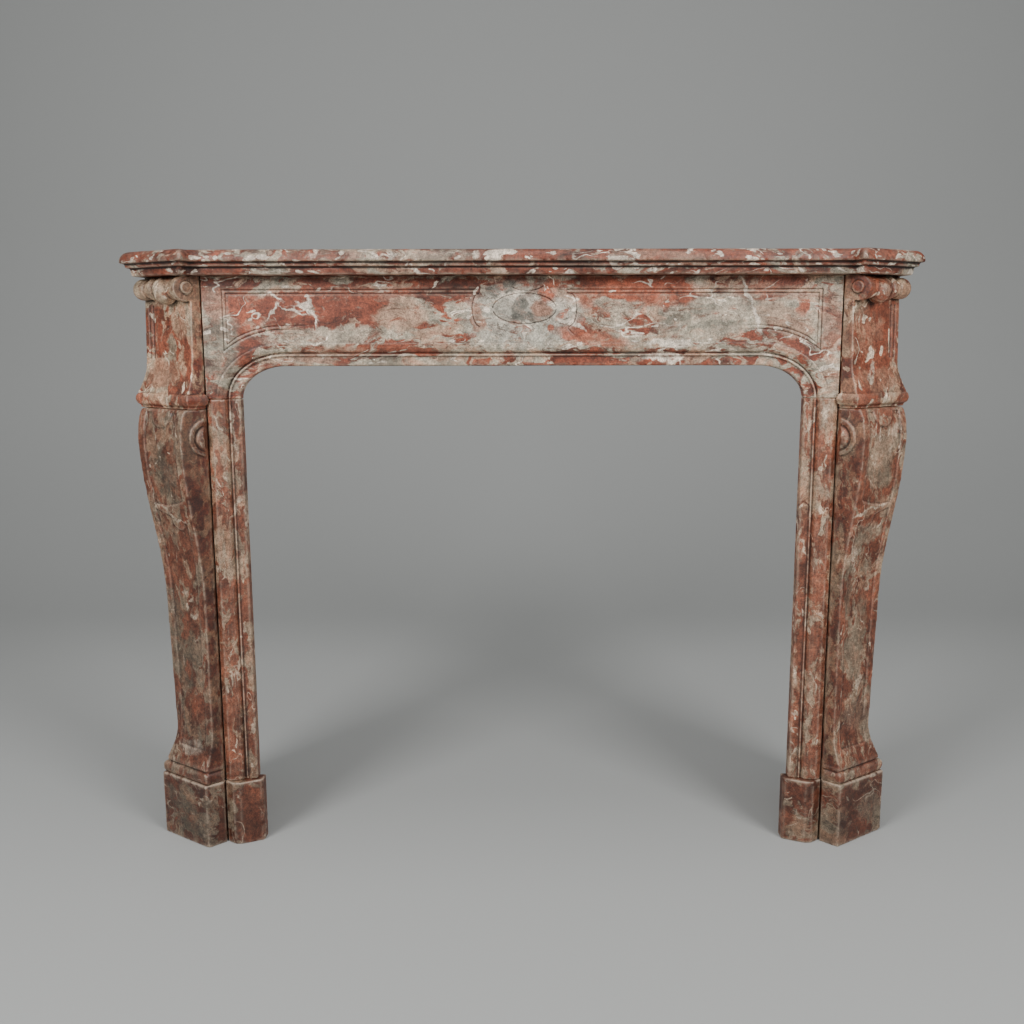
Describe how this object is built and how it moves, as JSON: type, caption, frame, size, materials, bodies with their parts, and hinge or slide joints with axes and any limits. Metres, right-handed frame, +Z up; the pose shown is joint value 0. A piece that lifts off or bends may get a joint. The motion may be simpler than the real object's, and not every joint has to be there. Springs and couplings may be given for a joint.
{
  "type": "fireplace mantel",
  "caption": "Carved red marble fireplace mantel with angled scrolled consoles, a panelled frieze with an oval cartouche, and a moulded breakfront shelf.",
  "frame": {"origin": "on the floor, midway across the width and the depth of the whole mantel", "axes": "+X to the right along the width as seen from the front, -Y the front with the fire opening, +Y the wall, +Z up"},
  "size_m": [1.444, 0.3173, 1.12],
  "materials": {
    "shelf_marble": "worn satin polish",
    "lintel_marble": "worn satin polish",
    "capital_marble": "worn satin polish, dirt in the hollows",
    "shaft_marble": "worn satin polish, dirt in the hollows",
    "plinth_marble": "worn, pale scuffed arrises",
    "jamb_marble": "worn satin polish",
    "jamb_plinth_marble": "worn, chipped arrises"
  },
  "bodies": {
    "root": {"shelf": "shelf_marble", "lintel": "lintel_marble", "console_capital_left": "capital_marble", "console_capital_right": "capital_marble", "console_shaft_left": "shaft_marble", "console_shaft_right": "shaft_marble", "console_plinth_left": "plinth_marble", "console_plinth_right": "plinth_marble", "jamb_left": "jamb_marble", "jamb_right": "jamb_marble", "jamb_plinth_left": "jamb_plinth_marble", "jamb_plinth_right": "jamb_plinth_marble"}
  },
  "joints": []
}
